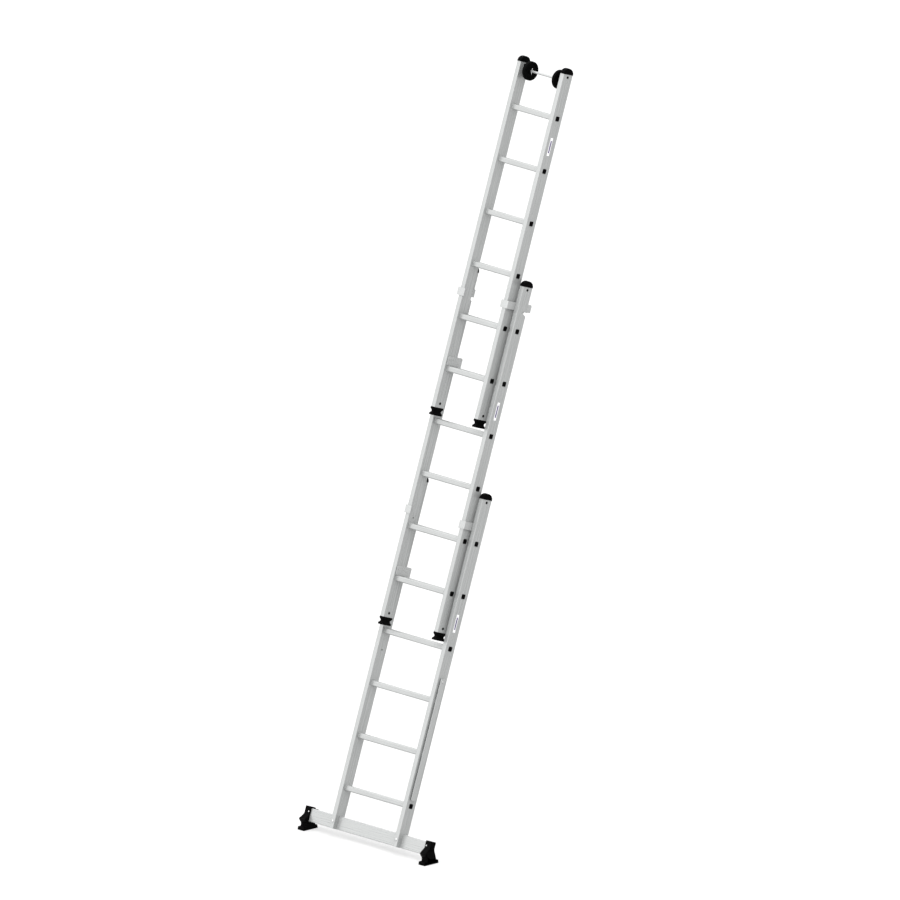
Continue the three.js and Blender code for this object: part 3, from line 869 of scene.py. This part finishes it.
SHOE_EDGE = 2.5 * MM
SHOE_CHEEK = 4.2 * MM
SHOE_SADDLE = 45 * MM
SHOE_KNEE = 53.3 * MM
SHOE_FLANGE = 12 * MM
SHOE_END = 5 * MM
SHOE_HEEL_Y = 31 * MM
SOLE_LANDS = 9
SOLE_GROOVE = 2.5 * MM
SOLE_END = 2 * MM


def shoe_origin(word):
    return Vector(JOINTS[f"shoe_{word}_rock"]["pos_m"])


def level_extent(node, origin):
    low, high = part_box(node)
    return low - origin, high - origin


def make_shoe(word):
    side = SIDES[word]
    origin = shoe_origin(word)
    origin.x = 0
    matrix = Matrix.Translation(origin)
    node = f"shoe_{word}"
    low, high = level_extent(node, origin)
    inner, outer = sorted((abs(low.x), abs(high.x)))
    front, back, bottom = low.y, high.y, low.z
    cheek = outer - SHOE_CHEEK
    knee = SHOE_KNEE
    hub = high.z
    flange = SHOE_FLANGE
    end = SHOE_END
    neck = knee * math.cos(math.radians(-135))
    under = [
        *arc(0, 0, knee, -165, -135, 6),
        (neck + 0.5 * MM, bottom + flange + 5 * MM),
        *arc(neck - 4.5 * MM, bottom + flange + 5 * MM, 5 * MM, 0, -90, 5),
        *arc(front + end, bottom + flange - end, end, 90, 180, 5),
        (front, bottom),
        (back, bottom),
        *arc(back - end, bottom + flange - end, end, 0, 90, 5),
        *arc(SHOE_HEEL_Y, bottom + flange + 5 * MM, 5 * MM, 270, 200, 4),
    ]
    bm = bmesh.new()
    body = [*under, *arc(0, 0, SHOE_SADDLE, -60, -167, 24)]
    prism(bm, "across", body, side * inner, side * outer, SHOE_EDGE, 4)
    plate = [*under, *arc(0, 0, hub, -15, 165, 16)]
    prism(bm, "across", plate, side * cheek, side * outer, 1.8 * MM, 4)
    add_piece(f"{node}_form", bm, matrix, node, "black_plastic", [node])


def make_sole(word):
    origin = shoe_origin(word)
    origin.x = 0
    node = f"shoe_sole_{word}"
    low, high = level_extent(node, origin)
    front, back, bottom, top = low.y, high.y, low.z, high.z
    pitch = (back - front) / SOLE_LANDS
    end = SOLE_END
    outline = [(back, top), (front, top), *arc(front + end, bottom + end, end, 180, 270, 5)]
    for i in range(1, SOLE_LANDS):
        place = front + i * pitch
        outline += [(place - 1.2 * MM, bottom), (place - 0.7 * MM, bottom + SOLE_GROOVE),
                    (place + 0.7 * MM, bottom + SOLE_GROOVE), (place + 1.2 * MM, bottom)]
    outline += arc(back - end, bottom + end, end, 270, 360, 5)
    bm = bmesh.new()
    prism(bm, "across", outline, low.x, high.x, 0.8 * MM, 2)
    add_piece(f"{node}_form", bm, Matrix.Translation(origin), f"shoe_{word}", "black_rubber",
              [node])


def make_shoe_pin(word):
    side = SIDES[word]
    origin = shoe_origin(word)
    origin.x = 0
    node = f"shoe_pin_{word}"
    low, high = level_extent(node, origin)
    near, far = sorted((abs(low.x), abs(high.x)))
    head = (high.z - low.z) / 2
    profile = headed_pin(near, far, head, 2 * MM, 5)
    bm = bmesh.new()
    lathe(bm, facing(profile, side), (0, 0, 0), steps=32)
    add_piece(f"{node}_form", bm, Matrix.Translation(origin), BODY_OF[node], "black_plastic",
              [node])


for word in SIDES:
    make_shoe(word)
    make_sole(word)
    make_shoe_pin(word)

# ---- Struts ----


def make_strut(word):
    side = SIDES[word]
    node = f"strut_{word}"
    refined(node, 0.6 * MM)
    bolt = f"strut_bolt_{word}"
    low, high = BOTTOM.extent(bolt)
    centre = (low + high) / 2
    near, far = sorted((abs(low.x), abs(high.x)))
    head = (high.z - low.z) / 2
    profile = headed_pin(near, far, head, 2.5 * MM, 6)
    bm = bmesh.new()
    lathe(bm, facing(profile, side), (0, centre.y, centre.z), steps=32)
    add_piece(f"{bolt}_form", bm, BOTTOM.matrix, "bottom_section", "plated_steel", [bolt])


for word in SIDES:
    make_strut(word)
